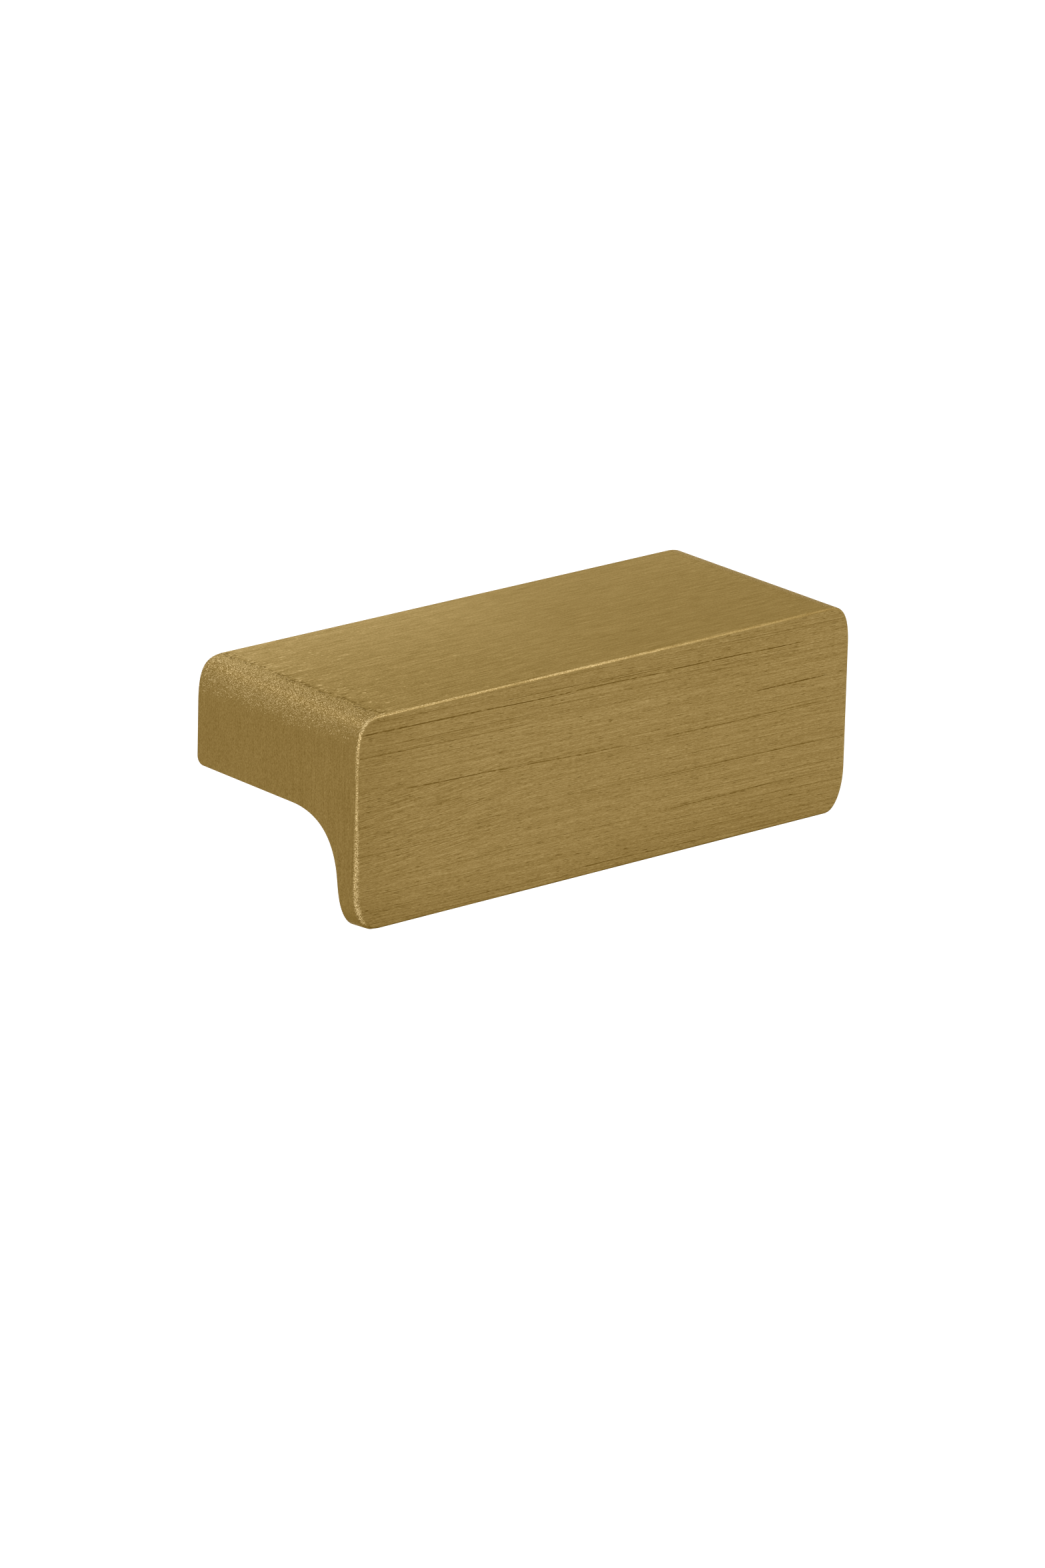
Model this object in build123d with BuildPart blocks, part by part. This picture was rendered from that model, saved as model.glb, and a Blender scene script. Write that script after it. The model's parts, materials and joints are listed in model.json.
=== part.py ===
"""Short L-section bar pull for a drawer or cabinet front, one solid piece.

A thick ledge stands out from the front and ends in a thin lip that hangs down; fingers reach up behind the lip.
The origin is midway between the two screw holes, on the back face. X runs along the pull, -Y points out at the
hand and Z points up. All sizes are in millimetres.
"""

import math
import os

from build123d import *

# overall
length = 70.0
projection = 27.0
height = 23.9

# ledge and lip; the lip's back is straight for a short stretch, then rolls forward to its tip
ledge_thickness = 12.0
lip_thickness = 3.0
lip_straight = 2.5
lip_tip_radius = 0.7
lip_tip_turn = 60.0
back_corner_radius = 1.0

# soft cove from the lip's straight back up to the underside of the ledge; its pulls say how far along each
# side the curve leans towards the corner, as a share of that side
cove_run = 8.0
cove_run_pull = 0.5
cove_drop_pull = 0.83

# rounded corners at both ends, seen from the front: soft curves at the top, with pulls as in the cove, and
# quarter ellipses below
top_corner_run = 3.4
top_corner_drop = 4.8
top_corner_run_pull = 0.7
top_corner_drop_pull = 0.8
low_corner_run = 2.6
low_corner_rise = 5.2

# broken edges
front_edge_radius = 0.5
rear_edge_radius = 0.3

# two blind holes tapped M4 in the back face
hole_spacing = 32.0
tapping_drill_radius = 1.65
hole_depth = 12.0
drill_point_angle = 118.0
hole_mouth_chamfer = 0.55

# levels and faces, from the sizes above
half_length = length / 2
front = -projection
top = ledge_thickness / 2
underside = top - ledge_thickness
bottom = top - height
lip_back = front + lip_thickness
tip_back = lip_back - lip_tip_radius * (1 - math.cos(math.radians(lip_tip_turn)))
tip_high = bottom + lip_tip_radius * math.sin(math.radians(lip_tip_turn))
cove_low = tip_high + lip_straight
cove_drop = underside - cove_low
cove_far = lip_back + cove_run
top_corner_x = half_length - top_corner_run
top_corner_z = top - top_corner_drop
top_pull_x = top_corner_x + top_corner_run_pull * top_corner_run
top_pull_z = top_corner_z + top_corner_drop_pull * top_corner_drop
low_corner_x = half_length - low_corner_run
low_corner_z = bottom + low_corner_rise
hole_mouth_radius = tapping_drill_radius + hole_mouth_chamfer
drill_point = tapping_drill_radius / math.tan(math.radians(drill_point_angle / 2))

SHARP_ANGLE = 5.0


def sharp_edges(solid):
    """The edges where two faces meet at an angle, without the smooth seams between rounded faces."""
    found = []
    for edge in solid.edges():
        middle = edge @ 0.5
        beside = [face for face in solid.faces() if any(side.is_same(edge) for side in face.edges())]
        normals = [face.normal_at(middle) for face in beside]
        if len(normals) == 2 and abs(normals[0].get_angle(normals[1])) > SHARP_ANGLE:
            found.append(edge)
    return found


with BuildPart() as pull_body:
    # block with rounded ends, from the back face to the front face
    with BuildSketch(Plane.XZ) as end_outline:
        with BuildLine():
            Line((-top_corner_x, top), (top_corner_x, top))
            Bezier(
                (top_corner_x, top),
                (top_pull_x, top),
                (half_length, top_pull_z),
                (half_length, top_corner_z),
            )
            Line((half_length, top_corner_z), (half_length, low_corner_z))
            EllipticalCenterArc((low_corner_x, low_corner_z), low_corner_run, low_corner_rise, 270, arc_size=90)
            Line((low_corner_x, bottom), (-low_corner_x, bottom))
            EllipticalCenterArc((-low_corner_x, low_corner_z), low_corner_run, low_corner_rise, 180, arc_size=90)
            Line((-half_length, low_corner_z), (-half_length, top_corner_z))
            Bezier(
                (-half_length, top_corner_z),
                (-half_length, top_pull_z),
                (-top_pull_x, top),
                (-top_corner_x, top),
            )
        make_face()
    extrude(amount=projection)

    # finger hollow behind the lip, open at both ends, below and at the back
    with BuildSketch(Plane.YZ) as finger_hollow:
        with BuildLine():
            RadiusArc((tip_back, bottom), (lip_back, tip_high), -lip_tip_radius)
            Line((lip_back, tip_high), (lip_back, cove_low))
            Bezier(
                (lip_back, cove_low),
                (lip_back, cove_low + cove_drop_pull * cove_drop),
                (cove_far - cove_run_pull * cove_run, underside),
                (cove_far, underside),
            )
            Line((cove_far, underside), (-back_corner_radius, underside))
            RadiusArc((-back_corner_radius, underside), (0, underside + back_corner_radius), -back_corner_radius)
            Polyline(
                (0, underside + back_corner_radius),
                (projection, underside + back_corner_radius),
                (projection, bottom - height),
                (tip_back, bottom - height),
                (tip_back, bottom),
            )
        make_face()
    extrude(amount=length, both=True, mode=Mode.SUBTRACT)

    # broken edges: the rim of the front face, then all that is left at the ends, the back and the lip
    fillet(pull_body.faces().sort_by(Axis.Y)[0].edges(), front_edge_radius)
    fillet(sharp_edges(pull_body.part), rear_edge_radius)

    # drilled holes with a countersunk mouth and the drill's point at the bottom
    for hole_x in (-hole_spacing / 2, hole_spacing / 2):
        with BuildSketch(Plane.XY) as drilled:
            with BuildLine():
                Polyline(
                    (hole_x, 0),
                    (hole_x + hole_mouth_radius, 0),
                    (hole_x + tapping_drill_radius, -hole_mouth_chamfer),
                    (hole_x + tapping_drill_radius, -hole_depth),
                    (hole_x, -hole_depth - drill_point),
                    close=True,
                )
            make_face()
        revolve(axis=Axis((hole_x, 0, 0), (0, 1, 0)), mode=Mode.SUBTRACT)

pull_body.part.label = "pull_body"

os.makedirs("parts", exist_ok=True)
export_step(pull_body.part, "parts/pull_body.step")
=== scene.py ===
"""Brushed brass bar pull, dressed for its picture: the satin brushed finish, with painted light and shade in
its colour, the tapped screw holes in its back, a pale studio and the camera."""

import json
import math

import bmesh
import bpy
from mathutils import Matrix, Vector


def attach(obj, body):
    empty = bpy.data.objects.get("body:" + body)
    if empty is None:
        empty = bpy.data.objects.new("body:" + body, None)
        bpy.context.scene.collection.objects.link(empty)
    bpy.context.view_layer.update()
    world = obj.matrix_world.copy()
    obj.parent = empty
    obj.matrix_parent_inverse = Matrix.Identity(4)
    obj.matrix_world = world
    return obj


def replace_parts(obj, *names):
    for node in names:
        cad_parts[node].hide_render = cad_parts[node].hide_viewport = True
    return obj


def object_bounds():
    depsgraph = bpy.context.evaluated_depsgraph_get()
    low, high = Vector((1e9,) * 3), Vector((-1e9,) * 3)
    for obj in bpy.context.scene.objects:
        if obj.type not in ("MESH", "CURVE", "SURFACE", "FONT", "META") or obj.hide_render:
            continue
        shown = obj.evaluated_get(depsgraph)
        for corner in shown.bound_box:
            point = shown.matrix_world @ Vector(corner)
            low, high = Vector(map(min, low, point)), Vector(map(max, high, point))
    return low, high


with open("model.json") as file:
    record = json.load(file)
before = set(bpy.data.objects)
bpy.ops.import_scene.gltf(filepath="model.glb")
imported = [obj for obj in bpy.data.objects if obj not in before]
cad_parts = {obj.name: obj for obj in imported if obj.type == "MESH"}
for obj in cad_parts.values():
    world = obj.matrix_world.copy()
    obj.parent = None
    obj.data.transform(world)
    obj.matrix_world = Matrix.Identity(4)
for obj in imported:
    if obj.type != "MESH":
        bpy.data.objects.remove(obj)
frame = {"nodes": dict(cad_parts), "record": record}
cad_low, cad_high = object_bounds()

MM = 0.001

# the two screw holes in the back, tapped M4: the drilled wall becomes the crest of the thread
screw_holes = frame["record"]["mounts"][0]["dims"]
HALF_SPACING = screw_holes["spacing_x_mm"] / 2 * MM
HOLES = (-HALF_SPACING, HALF_SPACING)
DRILL_RADIUS = screw_holes["hole_r_mm"] * MM
MOUTH_DEPTH = 1.0 * MM
THREAD_RADIUS = 2.0 * MM
THREAD_PITCH = 0.7 * MM
THREAD_START = -0.62 * MM
THREAD_TURNS = 14
STEPS_PER_TURN = 24
THREAD_SINK = 0.06 * MM
THREAD_HALF_ROOT = 0.31 * MM
THREAD_HALF_CREST = THREAD_PITCH / 8

# parts of the solid near a hole, by their distance from its middle line in radii of the drill: faces closer
# than the first are the hole's own, and corners between the other two lie on its wall
HOLE_REACH = 1.2
WALL_FROM = 0.9
WALL_TO = 1.1

# the lip's lower left corner, worn a little rounder than the solid: its place, how far the wear reaches each
# way, how much of it is gone, and cuts across the pull that keep the wear from running on along it
WORN_SPOT = cad_low + Vector((2.0, 0.0, 0.1)) * MM
WORN_REACH = Vector((0.8, 1.3, 2.0)) * MM
WORN_AWAY = 0.19 * MM
WORN_CUTS = (3.5 * MM, 4.3 * MM)

# meshes: spots closer than this are one, and edges sharper than this stay crisp
MERGE_DISTANCE = 0.0005 * MM
CRISP_ANGLE = math.radians(32)

# the pull's own measures that its finish follows, in millimetres
HALF_LENGTH = cad_high.x / MM
REACH = -cad_low.y / MM
LOW_CORNER_RUN = 2.6
LOW_CORNER_RISE = 5.2
LOW_CORNER_TOP = cad_low.z / MM + LOW_CORNER_RISE

# tones of the finish are steps of brightness either side of a middle tone; the brass's colours run from dark
# scores to bright glints, each at its share of the whole span of tones
TONE_SPAN = 150.0
MIDDLE_TONE = 63.5
BRASS_TONES = (
    (0.0, (0.102, 0.051, 0.004)),
    (0.2, (0.188, 0.112, 0.022)),
    (0.41, (0.311, 0.207, 0.065)),
    (0.6, (0.456, 0.323, 0.127)),
    (0.8, (0.645, 0.479, 0.223)),
    (1.0, (0.871, 0.672, 0.352)),
)
GLANCING_TINT = (0.73, 0.655, 0.488, 1.0)
RELIEF_DEPTH = 0.02 * MM

# how the brushed lines lie: their sway, how they fall to the right on the front, and how the second set rises
SWAY = 0.07
FRONT_FALL = 0.022
CROSSING_RISE = 0.085

# long scores across the front: height at the middle of the pull, fall per millimetre, where they start and
# end along the pull, and how dark they are; each fades in and out over its last few millimetres
LONG_SCORES = (
    (3.42, 0.0202, -36.5, 9.0, 54.4),
    (3.62, 0.0244, 7.0, 29.0, 57.8),
    (-3.92, 0.0397, -30.0, 3.0, 40.8),
    (-1.20, 0.0143, 20.0, 32.0, 57.8),
    (-4.04, 0.0163, 7.0, 32.0, 37.4),
    (-16.80, 0.0128, -5.0, 16.0, 34.0),
    (-12.65, -0.0060, 7.0, 25.0, 34.0),
)
SCORE_FADE = 3.0

# studio: the floor's half width, its drop below the pull, its tone, and how much it glows where the camera
# sees it and where the brass mirrors it; then each lamp's direction, size and power
FLOOR_HALF_WIDTH = 6.0
FLOOR_DROP = 0.16
FLOOR_TONE = (0.8, 0.8, 0.8, 1)
FLOOR_GLOW_SEEN = 0.5
FLOOR_GLOW_MIRRORED = 0.2
LAMP_DISTANCE = 0.7
LAMPS = (
    ("back_left_lamp", (-0.32, 0.72, 0.62), 0.4, 0.15),
    ("front_right_lamp", (0.62, -0.32, 0.72), 0.4, 0.3),
    ("left_lamp", (-0.74, -0.64, 0.05), 0.3, 0.2),
)

# the camera that sees the pull as the photograph does
CAMERA_LENS = 207.09
CAMERA_PLACE = (-0.60934, -0.71719, 0.29994)
CAMERA_TURN = (71.4906, -1.3873, -40.4116)


class Finish:
    """One surface finish, put together step by step."""

    def __init__(self, name):
        self.look = bpy.data.materials.new(name)
        self.look.use_nodes = True
        self.tree = self.look.node_tree
        self.tree.nodes.clear()

    def node(self, kind, **settings):
        made = self.tree.nodes.new(kind)
        for name, value in settings.items():
            setattr(made, name, value)
        return made

    def feed(self, socket, value):
        """Gives an input a fixed number or the result of another step."""
        if isinstance(value, bpy.types.NodeSocket):
            self.tree.links.new(value, socket)
        else:
            socket.default_value = value

    def calc(self, operation, *values):
        step = self.node("ShaderNodeMath", operation=operation)
        for socket, value in zip(step.inputs, values):
            self.feed(socket, value)
        return step.outputs[0]

    def add(self, *values):
        made = values[0]
        for value in values[1:]:
            made = self.calc("ADD", made, value)
        return made

    def times(self, *values):
        made = values[0]
        for value in values[1:]:
            made = self.calc("MULTIPLY", made, value)
        return made

    def above(self, value, level):
        """How far a value rises above a level, and nothing where it doesn't."""
        return self.calc("MAXIMUM", self.calc("SUBTRACT", value, level), 0.0)

    def ease(self, value, start, end, low=0.0, high=1.0):
        """low before start, high after end, and a soft change between them."""
        step = self.node("ShaderNodeMapRange", interpolation_type="SMOOTHSTEP")
        names = ("Value", "From Min", "From Max", "To Min", "To Max")
        for name, number in zip(names, (value, start, end, low, high)):
            self.feed(step.inputs[name], number)
        return step.outputs["Result"]

    def blend(self, share, first, second):
        step = self.node("ShaderNodeMix", data_type="FLOAT")
        for socket, value in zip(step.inputs[:1] + step.inputs[2:4], (share, first, second)):
            self.feed(socket, value)
        return step.outputs[0]

    def join(self, x, y, z):
        step = self.node("ShaderNodeCombineXYZ")
        for socket, value in zip(step.inputs, (x, y, z)):
            self.feed(socket, value)
        return step.outputs[0]

    def split(self, vector):
        step = self.node("ShaderNodeSeparateXYZ")
        self.feed(step.inputs[0], vector)
        return step.outputs

    def surface(self):
        """The place of each spot on the piece, in millimetres, and the way it faces."""
        spot = self.node("ShaderNodeTexCoord")
        in_mm = self.node("ShaderNodeVectorMath", operation="SCALE")
        self.feed(in_mm.inputs[0], spot.outputs["Object"])
        in_mm.inputs["Scale"].default_value = 1.0 / MM
        return in_mm.outputs[0], spot.outputs["Normal"]

    def grain(self, place, size, seed, detail=0.0):
        """Soft noise from about -1 to 1 whose grains have these sizes along x, y and z, in millimetres."""
        scaled = self.node("ShaderNodeMapping")
        self.feed(scaled.inputs["Vector"], place)
        scaled.inputs["Location"].default_value = (seed * 3.1, seed * 1.7, seed * 2.3)
        scaled.inputs["Scale"].default_value = tuple(1.0 / across for across in size)
        noise = self.node("ShaderNodeTexNoise")
        self.feed(noise.inputs["Vector"], scaled.outputs[0])
        noise.inputs["Scale"].default_value = 1.0
        noise.inputs["Detail"].default_value = detail
        return self.calc("MULTIPLY_ADD", noise.outputs[0], 4.0, -2.0)

    def shade(self, share, dark_roughness, bright_roughness, relief):
        """Ends a brass finish: colour, roughness and a little relief, from the share of the way along its
        tones."""
        ramp = self.node("ShaderNodeValToRGB")
        self.feed(ramp.inputs["Fac"], share)
        steps = ramp.color_ramp.elements
        steps[0].position, steps[1].position = BRASS_TONES[0][0], BRASS_TONES[-1][0]
        for where, _ in BRASS_TONES[1:-1]:
            steps.new(where)
        for step, (_, colour) in zip(steps, BRASS_TONES):
            step.color = (*colour, 1.0)
        bump = self.node("ShaderNodeBump")
        bump.inputs["Strength"].default_value = relief
        bump.inputs["Distance"].default_value = RELIEF_DEPTH
        self.feed(bump.inputs["Height"], share)
        brass = self.node("ShaderNodeBsdfPrincipled")
        self.feed(brass.inputs["Base Color"], ramp.outputs["Color"])
        self.feed(brass.inputs["Roughness"], self.ease(share, 0.2, 0.7, dark_roughness, bright_roughness))
        self.feed(brass.inputs["Normal"], bump.outputs[0])
        brass.inputs["Metallic"].default_value = 1.0
        brass.inputs["Specular Tint"].default_value = GLANCING_TINT
        out = self.node("ShaderNodeOutputMaterial")
        self.feed(out.inputs["Surface"], brass.outputs[0])


class PullSpots:
    """What the brushed finish knows about each spot of the pull: its place in millimetres, the way it faces,
    which side of the pull it is on, and the specks and lines that more than one side shares."""

    def __init__(self, f):
        self.place, normal = f.surface()
        self.x, self.y, self.z = f.split(self.place)
        nx, self.ny, self.nz = f.split(normal)
        self.out_x = f.calc("ABSOLUTE", self.x)
        self.sideways = f.calc("ABSOLUTE", nx)
        self.facing = f.times(self.ny, -1.0)

        self.on_end = f.ease(self.sideways, 0.6, 0.95)
        self.on_front = f.ease(self.facing, 0.85, 0.99)
        self.on_top = f.times(f.ease(self.nz, 0.8, 0.98), f.ease(self.z, 5.0, 5.8))
        self.between_faces = f.ease(f.calc("ABSOLUTE", self.ny), 0.7, 0.3)

        self.speck = f.grain(self.place, (0.09, 0.09, 0.09), 19.0)
        self.patch = f.grain(self.place, (1.3, 1.3, 1.3), 29.0, 1.0)
        rubbed = f.join(self.y, f.calc("SUBTRACT", self.out_x, self.z), f.times(self.x, 0.02))
        self.spark = f.grain(rubbed, (0.064, 0.09, 1.0), 101.0)

        self.sway = f.times(f.grain(self.place, (30.0, 9.0, 9.0), 3.0), SWAY)
        tilt = f.times(self.on_front, self.x, FRONT_FALL)
        self.laid = f.join(self.x, f.add(self.y, self.z, tilt, self.sway), 0.0)


# in the functions below, limits for x, y, z and out_x are in millimetres, limits for facing, sideways, ny
# and nz say how squarely a spot faces that way, and strengths are in steps of tone
def strokes(f, at, along, across, seed):
    """Noise drawn out along the brushed lines, with grains of these sizes along and across them."""
    return f.grain(at.laid, (along, across, 1.0), seed)


def leftwards(f, at, right, left):
    """One share on the right half of the pull, another on its left half and a soft change in the middle."""
    return f.ease(at.x, 10.0, -10.0, right, left)


def crossing_lines(f, at):
    """A second, slanting set of lines low down on the left of the front, and the share of it at each spot."""
    rise = f.times(at.x, -CROSSING_RISE)
    slanted = f.join(at.x, f.add(at.z, rise, f.times(at.sway, 2.0)), 0.0)
    lines = f.add(
        f.times(f.grain(slanted, (6.0, 0.07, 1.0), 83.0), 12.0),
        f.times(f.grain(slanted, (1.6, 0.065, 1.0), 89.0), 7.0),
    )
    share = f.times(f.ease(at.x, -4.0, -18.0), f.ease(at.z, 0.5, -4.0), f.ease(at.z, -14.5, -10.5))
    return f.times(lines, share), share


def long_scores(f, at):
    """The few long dark scores across the front, which wander a little and are broken here and there."""
    wander = f.times(f.grain(at.place, (9.0, 9.0, 9.0), 53.0), 0.06)
    broken = f.ease(f.grain(at.laid, (0.8, 3.0, 1.0), 59.0, 1.0), -0.6, 0.1, 0.3, 1.0)
    marks = []
    for middle, fall, start, end, depth in LONG_SCORES:
        off = f.calc("ABSOLUTE", f.add(at.z, f.times(at.x, fall), wander, -middle))
        span = f.times(f.ease(at.x, start, start + SCORE_FADE), f.ease(at.x, end, end - SCORE_FADE))
        marks.append(f.times(f.ease(off, 0.08, 0.02), span, broken, -depth))
    return f.add(*marks)


def front_lines(f, at):
    """The front's brushed lines: fine ones, dark nicks and scores, bright shines and the crossing set."""
    grit = strokes(f, at, 0.45, 0.065, 43.0)
    fine = strokes(f, at, 2.0, 0.065, 1.0)
    lines = strokes(f, at, 40.0, 0.085, 5.0)
    scores = f.ease(strokes(f, at, 38.0, 0.11, 11.0), 0.78, 1.1)
    nicks = f.ease(strokes(f, at, 1.4, 0.07, 13.0), 0.84, 1.12)
    shines = f.ease(strokes(f, at, 6.0, 0.07, 17.0), 0.7, 1.15)
    crossed, cross_share = crossing_lines(f, at)
    first_set = f.ease(cross_share, 0.0, 1.0, 1.0, 0.6)
    near_top = f.ease(at.z, 1.0, 4.0, 0.65, 0.95)
    return f.add(
        f.times(at.speck, 6.0),
        f.times(grit, 9.0),
        f.times(f.add(f.times(fine, 6.5), f.times(lines, 5.5)), first_set),
        f.times(scores, near_top, -36.0),
        f.times(nicks, -42.0),
        f.times(shines, 13.0),
        crossed,
        long_scores(f, at),
    )


def calm_lines(f, at):
    """Softer lines on the top, the underside and the back, a little stronger on the left."""
    dust = strokes(f, at, 0.22, 0.13, 67.0)
    rubs = strokes(f, at, 2.2, 0.14, 73.0)
    bands = strokes(f, at, 9.0, 0.26, 7.0)
    tone = f.add(f.times(dust, 9.5), f.times(rubs, 8.5), f.times(bands, 6.0))
    return f.times(tone, f.ease(at.x, 10.0, -28.0, 0.85, 1.4))


def top_dashes(f, at):
    """Short bright dashes on the top, more and brighter towards its ends, mostly on the left."""
    dashes = f.ease(strokes(f, at, 0.7, 0.2, 31.0), 0.65, 1.2)
    towards_end = f.ease(f.add(at.out_x, f.times(at.patch, 6.0)), 16.0, 32.0, 0.35, 1.0)
    brightness = f.ease(at.out_x, 26.0, 31.0, 38.0, 62.0)
    return f.times(dashes, at.on_top, towards_end, leftwards(f, at, 0.3, 1.0), brightness)


def upright_lines_with_painted_shade(f, at):
    """The ends: fine grit with faint upright lines that grow stronger towards the front, all painted a little
    darker than the front and top as painted shade.
    """
    grit = f.grain(at.place, (0.11, 0.11, 0.18), 47.0)
    lines = f.grain(at.place, (0.1, 0.1, 4.0), 37.0)
    towards_front = f.ease(at.y, -8.0, -24.0, 3.0, 5.5)
    # the last number darkens the whole end face: painted shade
    return f.add(f.times(grit, 9.0), f.times(lines, towards_front), f.times(at.speck, 4.0), -11.5)


def roll_with_painted_glints(f, at):
    """The rubbed roll where each end turns over into the top: its share at each spot, its cross-grain specks
    with dense painted glints, stronger on its upper part, and scattered painted glints below it."""
    start = f.add(at.out_x, f.times(at.patch, 0.15))
    higher_in_front = f.ease(at.y, -16.0, -26.0, 0.0, -0.9)
    low = f.add(at.z, f.times(at.patch, 0.45), f.times(at.speck, 0.5), higher_in_front)
    share = f.times(f.ease(start, 31.7, 32.1), f.ease(low, 3.2, 4.6), at.between_faces)
    glints = f.times(f.above(at.spark, 0.3), 80.0)
    tone = f.add(-6.5, f.times(at.spark, 25.0), glints, f.times(at.patch, 1.5))
    tone = f.times(tone, f.ease(at.nz, 0.5, 0.9, 1.0, 1.35))
    stray_painted_glints = f.times(f.above(at.spark, 0.62), f.ease(at.out_x, 32.0, 33.0), f.ease(low, 2.2, 3.5), 240.0)
    stray_painted_glints = f.times(stray_painted_glints, at.between_faces, f.calc("SUBTRACT", 1.0, share))
    return share, tone, stray_painted_glints


def roll_brow(f, at):
    """The ragged darker line along the upper edge of the roll, with scuffs beside it, mostly on the left."""
    dabs = strokes(f, at, 0.45, 0.2, 79.0)
    ragged = f.add(at.out_x, f.times(at.patch, 0.2), f.times(dabs, 0.3))
    line = f.times(f.ease(ragged, 30.7, 31.4), f.ease(ragged, 32.3, 31.9))
    line = f.times(line, f.ease(at.z, 5.0, 5.6), f.ease(at.ny, 0.7, 0.3))
    line = f.times(line, f.ease(at.patch, -0.7, 0.2, 0.2, 1.0), leftwards(f, at, 0.15, 1.0))
    near_roll = f.ease(f.add(at.out_x, f.times(at.patch, 1.5)), 28.0, 31.6)
    scuffs = f.ease(strokes(f, at, 1.4, 0.22, 71.0), 0.45, 0.95)
    scuffs = f.times(scuffs, near_roll, f.ease(at.out_x, 32.4, 31.9), at.on_top)
    share = f.add(line, f.times(scuffs, leftwards(f, at, 0.2, 0.8)))
    return f.times(share, f.add(f.times(dabs, 34.0), f.times(at.spark, 34.0), -15.0))


def end_rims_painted_highlights(f, at):
    """Painted highlights on the broken edges up both ends of the front: brighter tone with sparkling specks
    over the grain, wider lower down and much stronger on the left.
    """
    turn = f.times(f.add(at.z, -LOW_CORNER_TOP), -1.0 / LOW_CORNER_RISE)
    turn = f.calc("MINIMUM", f.calc("MAXIMUM", turn, 0.0), 0.995)
    inset = f.calc("SUBTRACT", 1.0, f.calc("SQRT", f.calc("SUBTRACT", 1.0, f.times(turn, turn))))
    outline = f.calc("SUBTRACT", HALF_LENGTH, f.times(inset, LOW_CORNER_RUN))
    front_width = f.ease(at.z, 2.0, -15.5, 0.32, 0.84)
    end_width = f.ease(at.z, 2.0, -15.5, 0.32, 0.5)
    across_front = f.calc("DIVIDE", f.calc("SUBTRACT", outline, at.out_x), front_width)
    across_end = f.calc("DIVIDE", f.add(at.y, REACH), end_width)
    from_edge = f.calc("MAXIMUM", across_front, across_end)
    lower = f.ease(f.add(from_edge, f.times(at.speck, 0.3)), 1.0, 0.6)
    lower = f.times(lower, f.ease(at.z, 2.0, 0.0), f.ease(at.nz, -0.6, -0.3))
    round_edge = f.times(f.ease(at.facing, 0.3, 0.5), f.ease(at.facing, 0.95, 0.85))
    upper = f.times(round_edge, f.ease(at.sideways, 0.2, 0.6), f.ease(at.z, -2.0, 2.0))
    share = f.times(f.calc("MAXIMUM", lower, upper), leftwards(f, at, 0.12, 1.0))
    glints = f.times(f.above(at.speck, 0.3), 80.0)
    return f.times(share, f.add(20.0, f.times(at.speck, 46.0), glints))


def top_rim_painted_highlight(f, at):
    """A painted highlight: the thin bright line along the top of the front, streaked and worn, which fades away
    to the right.
    """
    line = f.times(f.ease(at.facing, 0.32, 0.5), f.ease(at.facing, 0.9, 0.76), f.ease(at.nz, 0.2, 0.4))
    fading = f.times(f.ease(at.x, 16.0, -2.0, 0.4, 1.0), f.ease(at.x, 30.0, 20.0))
    worn = f.ease(f.grain(at.place, (3.0, 9.0, 9.0), 61.0, 1.0), -0.8, 0.3, 0.8, 1.0)
    streaks = f.grain(f.join(at.x, at.facing, 0.0), (6.0, 0.2, 1.0), 97.0)
    streaks = f.ease(streaks, -0.5, 0.5, 0.7, 1.15)
    return f.times(line, fading, worn, streaks, f.add(29.0, f.times(at.speck, 34.0)))


def low_rim_painted_shade(f, at):
    """Painted shade: the broken edge along the bottom of the front, painted darker."""
    round_edge = f.times(f.ease(at.facing, 0.1, 0.4), f.ease(at.facing, 0.99, 0.9))
    return f.times(round_edge, f.ease(at.nz, -0.2, -0.5), -14.0)


def painted_light_shade_and_cloud(f, at):
    """Slow changes of tone, mostly painted light and shade: painted light makes the top lighter towards its
    back, painted shade darkens the front at its left end, its upper edge and its lower one and the bottom of
    the lip, and a faint cloud of tone differs at random."""
    # painted light and painted shade: the top lighter towards its back and on its left, the front darker at its
    # left end and along its upper and lower edges, the bottom of the lip dark; only the cloud is tone that
    # differs at random
    from_front = f.calc("MAXIMUM", f.times(f.add(at.y, REACH), 1.0 / REACH), 0.0)
    painted_light_to_back = f.times(f.calc("POWER", from_front, 1.5), f.ease(at.x, -12.0, 20.0, 26.5, 12.0))
    top = f.times(at.on_top, f.add(painted_light_to_back, f.ease(at.x, -20.0, 30.0, 0.5, -3.5)))
    left_painted_shade = f.ease(at.x, -25.0, -33.0, 0.0, -6.0)
    lower_painted_shade = f.ease(at.z, -13.5, -17.0, 1.0, -7.0)
    upper_painted_shade = f.ease(at.z, 2.5, 5.0, 0.0, -2.0)
    front = f.times(at.on_front, f.add(left_painted_shade, lower_painted_shade, upper_painted_shade))
    lip_painted_shade = f.times(f.ease(at.z, -15.0, -17.6), f.ease(at.on_front, 0.9, 0.1), -18.0)
    cloud = f.times(f.grain(at.place, (14.0, 9.0, 9.0), 23.0, 1.0), 1.2)
    return f.add(top, front, lip_painted_shade, cloud)


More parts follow.
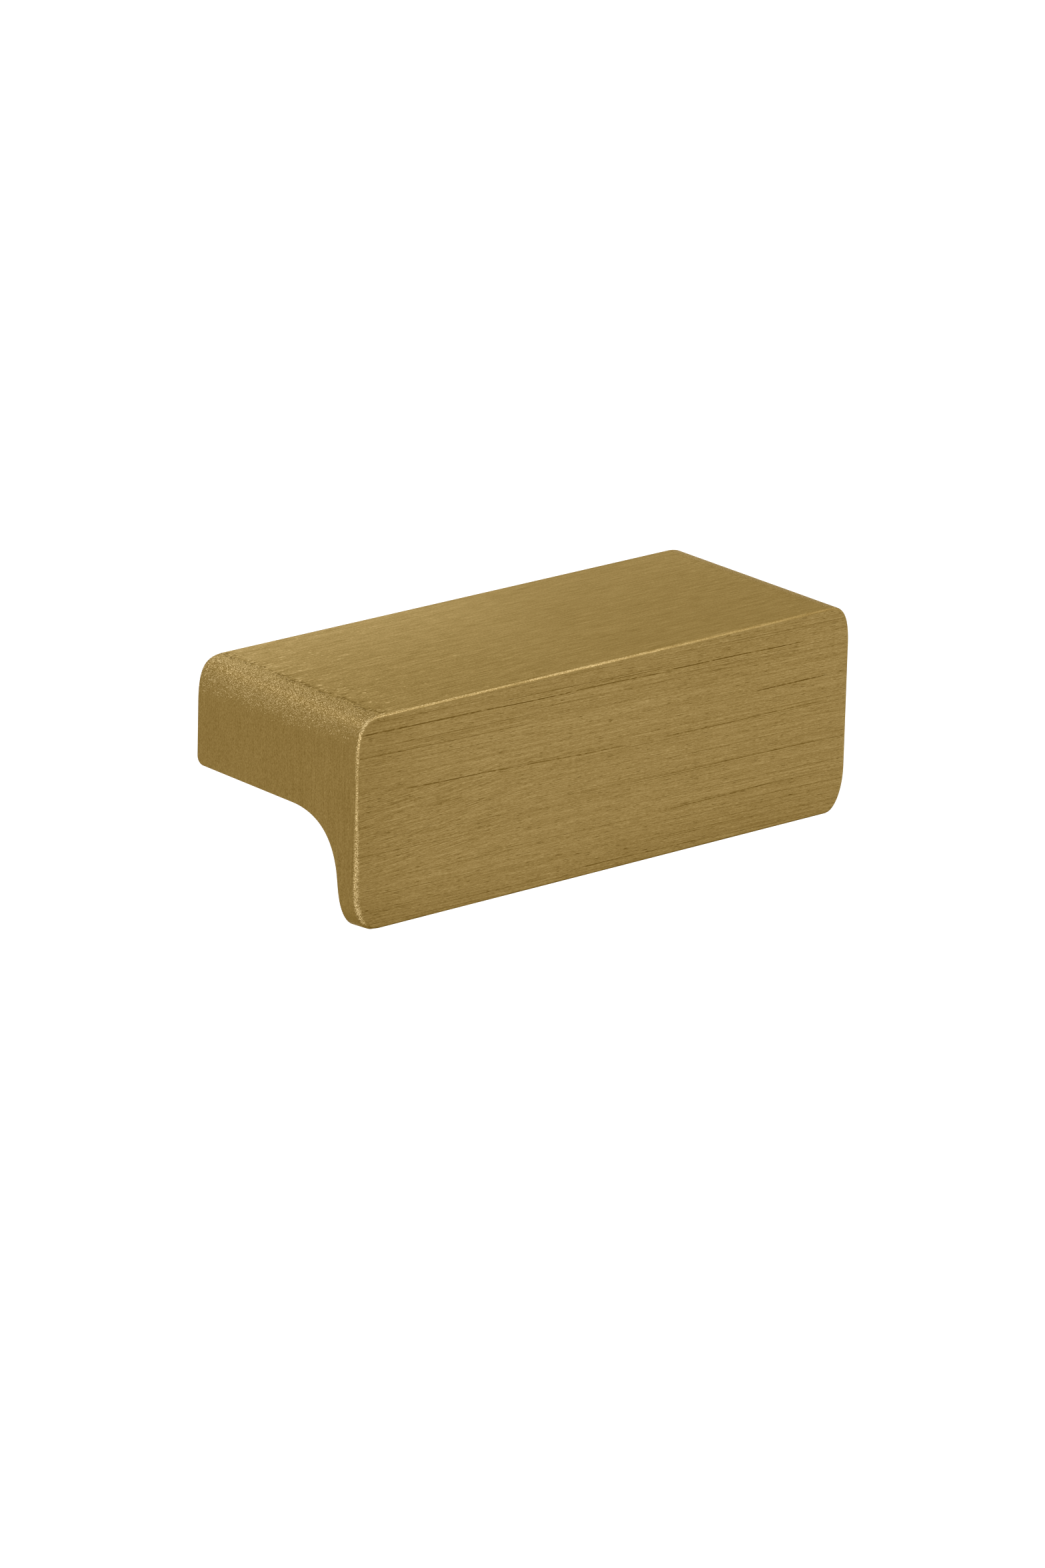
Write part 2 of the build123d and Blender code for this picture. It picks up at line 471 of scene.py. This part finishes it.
def brushed_brass():
    """Satin brass: fine lines along the pull on its front, top and underside, upright ones on its ends, a
    rubbed roll with painted glints where each end turns over into the top, painted highlights on the broken
    edges round the front, and painted light and shade across the faces."""
    f = Finish("brushed_brass")
    at = PullSpots(f)
    lengthwise = f.add(f.blend(at.on_front, calm_lines(f, at), front_lines(f, at)), top_dashes(f, at))
    flat = f.blend(at.on_end, lengthwise, upright_lines_with_painted_shade(f, at))
    roll, rolled_with_painted_glints, stray_painted_glints = roll_with_painted_glints(f, at)
    # the brushed texture, with painted glints on the roll, painted highlights on the edges, and painted light
    # and shade along the lower edge, on the lip and across the faces
    tone = f.add(
        f.blend(roll, flat, rolled_with_painted_glints),
        stray_painted_glints,
        roll_brow(f, at),
        end_rims_painted_highlights(f, at),
        top_rim_painted_highlight(f, at),
        low_rim_painted_shade(f, at),
        painted_light_shade_and_cloud(f, at),
    )
    share = f.calc("MULTIPLY_ADD", tone, 1.0 / TONE_SPAN, MIDDLE_TONE / TONE_SPAN)
    f.shade(share, dark_roughness=0.48, bright_roughness=0.36, relief=0.2)
    return f.look


def tapped_brass():
    """Bright cut brass in the screw holes, with fine rings left by the drill and the tap."""
    f = Finish("tapped_brass")
    place, _ = f.surface()
    rings = f.grain(place, (2.0, 0.06, 2.0), 5.0)
    smears = f.times(f.grain(place, (0.5, 0.3, 0.5), 9.0, 2.0), 0.6)
    share = f.ease(f.add(rings, smears), -1.4, 1.4, 0.3, 0.62)
    f.shade(share, dark_roughness=0.42, bright_roughness=0.28, relief=0.3)
    return f.look


def finished_piece(made, name, *looks):
    """Closes a mesh under construction into a piece with smooth faces and crisp edges."""
    for face in made.faces:
        face.smooth = True
    for seam in made.edges:
        seam.smooth = seam.calc_face_angle(0.0) < CRISP_ANGLE
    mesh = bpy.data.meshes.new(name)
    made.to_mesh(mesh)
    made.free()
    for look in looks:
        mesh.materials.append(look)
    piece = bpy.data.objects.new(name, mesh)
    bpy.context.scene.collection.objects.link(piece)
    shade = piece.modifiers.new("even_shading", "WEIGHTED_NORMAL")
    shade.keep_sharp = True
    shade.weight = 100
    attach(piece, "root")
    return piece


def wear_corner(made):
    """Rounds the lip's lower left corner a little more by lifting it softly."""
    for from_end in WORN_CUTS:
        whole = [*made.verts, *made.edges, *made.faces]
        bmesh.ops.bisect_plane(made, geom=whole, plane_co=(cad_low.x + from_end, 0, 0), plane_no=(1, 0, 0))
    for spot in made.verts:
        away = [gap / reach for gap, reach in zip(spot.co - WORN_SPOT, WORN_REACH)]
        spot.co.z += WORN_AWAY * math.exp(-sum(part * part for part in away))


def from_axis(spot, hole_x):
    """How far a spot lies from the middle line of the screw hole at hole_x, in radii of the drill."""
    return math.hypot(spot.x - hole_x, spot.z) / DRILL_RADIUS


def pull_body(brass, cut_brass):
    """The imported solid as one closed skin, with its screw holes opened out to the bottom of their threads."""
    made = bmesh.new()
    made.from_mesh(frame["nodes"]["pull_body"].data)
    bmesh.ops.remove_doubles(made, verts=made.verts, dist=MERGE_DISTANCE)
    wear_corner(made)
    opened = THREAD_RADIUS / DRILL_RADIUS
    for hole_x in HOLES:
        in_hole = [face for face in made.faces if from_axis(face.calc_center_median(), hole_x) < HOLE_REACH]
        wall = [spot for spot in made.verts if WALL_FROM < from_axis(spot.co, hole_x) < WALL_TO]
        mouth = [spot for spot in wall if spot.co.y > -MOUTH_DEPTH]
        middle = Matrix.Translation((-hole_x, 0, 0))
        bmesh.ops.scale(made, vec=(opened, 1, opened), space=middle, verts=wall)
        bmesh.ops.translate(made, vec=(0, THREAD_RADIUS - DRILL_RADIUS, 0), verts=mouth)
        for face in in_hole:
            face.material_index = 1
    return finished_piece(made, "pull", brass, cut_brass)


def screw_thread(name, hole_x, cut_brass):
    """The thread ridge in one hole: a four-cornered section wound into the hole, right-handed."""
    made = bmesh.new()
    section = [(THREAD_RADIUS + THREAD_SINK, THREAD_HALF_ROOT), (DRILL_RADIUS, THREAD_HALF_CREST)]
    section += [(radius, -along) for radius, along in reversed(section)]
    corners = [made.verts.new((hole_x + radius, THREAD_START + along, 0)) for radius, along in section]
    start = made.faces.new(corners)
    bmesh.ops.spin(
        made,
        geom=[start, *start.edges, *start.verts],
        cent=(hole_x, 0, 0),
        axis=(0, -1, 0),
        dvec=(0, -THREAD_PITCH / STEPS_PER_TURN, 0),
        angle=math.tau * THREAD_TURNS,
        steps=STEPS_PER_TURN * THREAD_TURNS,
    )
    bmesh.ops.recalc_face_normals(made, faces=made.faces)
    finished_piece(made, name, cut_brass)


def plain_floor():
    """A wide pale floor well below the pull; its soft shadow lies under it, outside the picture."""
    made = bmesh.new()
    bmesh.ops.create_grid(made, x_segments=1, y_segments=1, size=FLOOR_HALF_WIDTH)
    bmesh.ops.translate(made, verts=made.verts, vec=(0, 0, cad_low.z - FLOOR_DROP))
    mesh = bpy.data.meshes.new("floor")
    made.to_mesh(mesh)
    made.free()
    floor = bpy.data.objects.new("floor", mesh)
    bpy.context.scene.collection.objects.link(floor)
    f = Finish("pale_floor")
    matt = f.node("ShaderNodeBsdfDiffuse")
    matt.inputs["Color"].default_value = FLOOR_TONE
    glow = f.node("ShaderNodeEmission")
    glow.inputs["Color"].default_value = (1, 1, 1, 1)
    path = f.node("ShaderNodeLightPath")
    mirrored = f.calc("MAXIMUM", path.outputs["Is Glossy Ray"], path.outputs["Is Transmission Ray"])
    seen = path.outputs["Is Camera Ray"]
    strength = f.add(f.times(seen, FLOOR_GLOW_SEEN), f.times(mirrored, FLOOR_GLOW_MIRRORED))
    f.feed(glow.inputs["Strength"], strength)
    both = f.node("ShaderNodeAddShader")
    f.feed(both.inputs[0], matt.outputs[0])
    f.feed(both.inputs[1], glow.outputs[0])
    out = f.node("ShaderNodeOutputMaterial")
    f.feed(out.inputs["Surface"], both.outputs[0])
    mesh.materials.append(f.look)


def softbox(name, towards, size, power):
    """A square lamp in that direction from the pull, facing it."""
    data = bpy.data.lights.new(name, "AREA")
    data.shape = "SQUARE"
    data.size = size
    data.energy = power
    lamp = bpy.data.objects.new(name, data)
    way = Vector(towards).normalized()
    lamp.location = (cad_low + cad_high) / 2 + way * LAMP_DISTANCE
    lamp.rotation_mode = "QUATERNION"
    lamp.rotation_quaternion = way.to_track_quat("Z", "Y")
    bpy.context.scene.collection.objects.link(lamp)


def studio():
    """The floor, an even white sky and the three lamps."""
    plain_floor()
    world = bpy.data.worlds.new("studio")
    world.use_nodes = True
    sky = world.node_tree.nodes["Background"]
    sky.inputs["Color"].default_value = (1, 1, 1, 1)
    sky.inputs["Strength"].default_value = 1.0
    bpy.context.scene.world = world
    for name, towards, size, power in LAMPS:
        softbox(name, towards, size, power)


def camera():
    """The camera, at the photograph's viewing angle."""
    data = bpy.data.cameras.new("camera")
    data.sensor_width = 36.0
    data.lens = CAMERA_LENS
    data.clip_start, data.clip_end = 0.01, 50.0
    eye = bpy.data.objects.new("camera", data)
    eye.location = CAMERA_PLACE
    eye.rotation_euler = tuple(math.radians(angle) for angle in CAMERA_TURN)
    bpy.context.scene.collection.objects.link(eye)
    bpy.context.scene.camera = eye


tapped = tapped_brass()
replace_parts(pull_body(brushed_brass(), tapped), "pull_body")
screw_thread("left_thread", HOLES[0], tapped)
screw_thread("right_thread", HOLES[1], tapped)

studio()
camera()
bpy.context.scene.view_settings.view_transform = "Standard"
